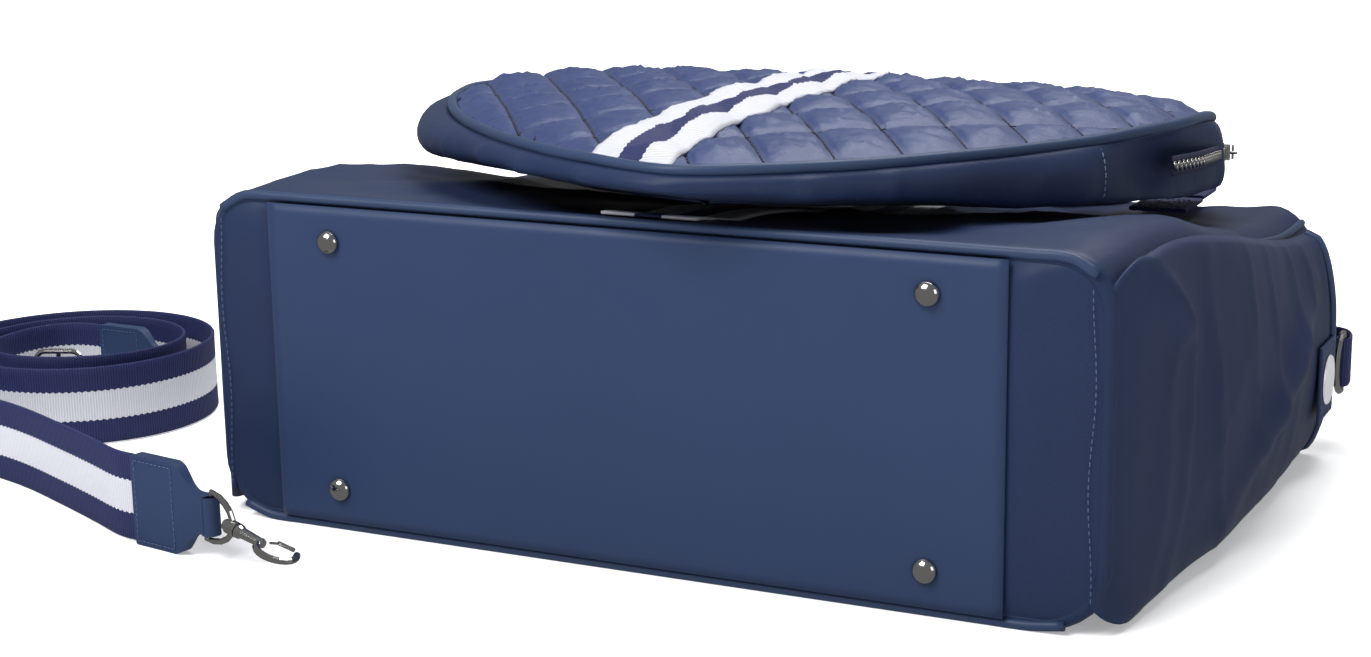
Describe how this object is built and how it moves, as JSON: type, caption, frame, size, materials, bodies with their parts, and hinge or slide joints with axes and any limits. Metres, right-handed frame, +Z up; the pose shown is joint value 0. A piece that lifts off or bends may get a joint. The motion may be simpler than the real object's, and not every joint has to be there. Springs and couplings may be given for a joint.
{
  "type": "diaper bag",
  "caption": "Soft rectangular diaper bag lying on its back, with a coated base on dome feet, a quilted flap pocket, bottle pockets, carry handles and a clip-on strap.",
  "frame": {"origin": "centre of the back panel's flat face, which lies on the floor", "axes": "+X to the viewer's right along the base, +Y from the base towards the bag's top, +Z up out of the front panel"},
  "size_m": [0.7892, 0.5434, 0.2134],
  "materials": {
    "nylon": "fine twill, slight sheen",
    "quilted_nylon": "quilted, slight sheen",
    "coated_navy": "matte coated",
    "webbing": "ribbed webbing",
    "stripe_webbing": "woven striped webbing",
    "zip_tape": "woven tape with coil teeth",
    "gunmetal": "polished dark nickel",
    "lining": "plain weave",
    "board": "matte"
  },
  "bodies": {
    "bag": {"back_panel": "nylon", "badge_disc": "gunmetal", "badge_patch": "coated_navy", "base_board": "board", "base_fabric": "nylon", "base_panel": "coated_navy", "base_piping_back": "coated_navy", "base_piping_front": "coated_navy", "flap_hinge_strip": "nylon", "foot_left_back": "gunmetal", "foot_left_front": "gunmetal", "foot_right_back": "gunmetal", "foot_right_front": "gunmetal", "front_handle_anchor_left": "webbing", "front_handle_anchor_right": "webbing", "front_panel": "nylon", "front_stripe": "stripe_webbing", "inner_slip_pocket": "lining", "left_pocket_binding": "coated_navy", "left_ring_tab": "webbing", "left_side_panel": "nylon", "left_side_pocket": "nylon", "lining": "lining", "main_zip_tape_back": "zip_tape", "main_zip_tape_front": "zip_tape", "right_pocket_binding": "coated_navy", "right_ring_tab": "webbing", "right_side_panel": "nylon", "right_side_pocket": "nylon", "top_gusset_back": "nylon", "top_gusset_front": "nylon"},
    "flap": {"flap_quilted_panel": "quilted_nylon", "flap_gusset": "nylon", "flap_back_panel": "nylon", "flap_piping": "coated_navy", "flap_stripe": "stripe_webbing", "flap_zip_tape": "zip_tape"},
    "flap_zip_runner": {"flap_zip_slider": "gunmetal"},
    "flap_zip_tag": {"flap_zip_pull": "gunmetal"},
    "handle_front": {"front_handle": "webbing"},
    "handle_back": {"back_handle": "webbing"},
    "ring_left": {"left_d_ring": "gunmetal"},
    "ring_right": {"right_d_ring": "gunmetal"},
    "zip_runner_left": {"main_zip_slider_left": "gunmetal"},
    "zip_runner_right": {"main_zip_slider_right": "gunmetal"},
    "zip_tag_left": {"main_zip_pull_left": "gunmetal"},
    "zip_tag_right": {"main_zip_pull_right": "gunmetal"},
    "strap": {"strap_webbing": "webbing", "strap_tab_near": "coated_navy", "strap_tab_far": "coated_navy"},
    "adjuster": {"strap_adjuster": "gunmetal"},
    "loop_near": {"strap_loop_near": "gunmetal"},
    "hook_near": {"strap_hook_near": "gunmetal"},
    "gate_near": {"strap_gate_near": "gunmetal"},
    "loop_far": {"strap_loop_far": "gunmetal"},
    "hook_far": {"strap_hook_far": "gunmetal"},
    "gate_far": {"strap_gate_far": "gunmetal"}
  },
  "joints": [
    {"name": "flap_hinge", "type": "hinge", "parent": "bag", "child": "flap", "pos_m": [0, 0.1685, 0.15], "axis": [-1, 0, 0], "range_deg": [0, 80]},
    {"name": "flap_zip_slide", "type": "slide", "parent": "flap", "child": "flap_zip_runner", "axis": [0.2277, -0.9639, 0.1377], "range_m": [0, 0.035]},
    {"name": "flap_zip_pull_swing", "type": "hinge", "parent": "flap_zip_runner", "child": "flap_zip_tag", "pos_m": [0.20721, 0.13815, 0.16535], "axis": [0.0316, -0.134, -0.9905], "range_deg": [0, 120]},
    {"name": "front_handle_swing", "type": "hinge", "parent": "bag", "child": "handle_front", "pos_m": [0, 0.1738, 0.1332], "axis": [-1, 0, 0], "range_deg": [-50, 8]},
    {"name": "back_handle_swing", "type": "hinge", "parent": "bag", "child": "handle_back", "pos_m": [0, 0.1875, 0.0027], "axis": [1, 0, 0], "range_deg": [0, 45]},
    {"name": "left_ring_swing", "type": "hinge", "parent": "bag", "child": "ring_left", "pos_m": [-0.266, 0.165, 0.048], "axis": [0, 0, -1], "range_deg": [-30, 120]},
    {"name": "right_ring_swing", "type": "hinge", "parent": "bag", "child": "ring_right", "pos_m": [0.266, 0.165, 0.048], "axis": [0, 0, 1], "range_deg": [-30, 120]},
    {"name": "main_zip_left_slide", "type": "slide", "parent": "bag", "child": "zip_runner_left", "axis": [-1, 0, 0], "range_m": [0, 0.045]},
    {"name": "main_zip_right_slide", "type": "slide", "parent": "bag", "child": "zip_runner_right", "axis": [1, 0, 0], "range_m": [0, 0.045]},
    {"name": "main_zip_left_pull_swing", "type": "hinge", "parent": "zip_runner_left", "child": "zip_tag_left", "pos_m": [-0.144, 0.19, 0.064], "axis": [0, 0, -1], "range_deg": [0, 150]},
    {"name": "main_zip_right_pull_swing", "type": "hinge", "parent": "zip_runner_right", "child": "zip_tag_right", "pos_m": [0.144, 0.19, 0.064], "axis": [0, 0, 1], "range_deg": [0, 150]},
    {"name": "strap_lift", "type": "slide", "parent": "bag", "child": "strap", "axis": [0, 0, 1], "range_m": [0, 0.3]},
    {"name": "strap_adjuster_travel", "type": "hinge", "parent": "strap", "child": "adjuster", "pos_m": [-0.433, -0.058, 0], "axis": [0, 0, 1], "range_deg": [-12, 12]},
    {"name": "near_loop_swing", "type": "hinge", "parent": "strap", "child": "loop_near", "pos_m": [-0.19137, -0.25294, 0.0229], "axis": [0.2044, -0.0381, 0.9781], "range_deg": [-75, 55]},
    {"name": "near_hook_swivel", "type": "hinge", "parent": "loop_near", "child": "hook_near", "pos_m": [-0.17551, -0.2559, 0.01947], "axis": [0.9616, -0.1793, -0.2079], "continuous": true},
    {"name": "near_gate", "type": "hinge", "parent": "hook_near", "child": "gate_near", "pos_m": [-0.15458, -0.25573, 0.0151], "axis": [-0.2044, 0.0381, -0.9781], "range_deg": [0, 30], "stiffness_Nm_per_rad": 0.02},
    {"name": "far_loop_swing", "type": "hinge", "parent": "strap", "child": "loop_far", "pos_m": [-0.39551, -0.01994, 0.02292], "axis": [0.0395, -0.2041, 0.9782], "range_deg": [-60, 0]},
    {"name": "far_hook_swivel", "type": "hinge", "parent": "loop_far", "child": "hook_far", "pos_m": [-0.39244, -0.03579, 0.01949], "axis": [0.1859, -0.9603, -0.2079], "continuous": true},
    {"name": "far_gate", "type": "hinge", "parent": "hook_far", "child": "gate_far", "pos_m": [-0.38461, -0.0552, 0.01512], "axis": [-0.0395, 0.2041, -0.9782], "range_deg": [0, 30], "stiffness_Nm_per_rad": 0.02}
  ]
}
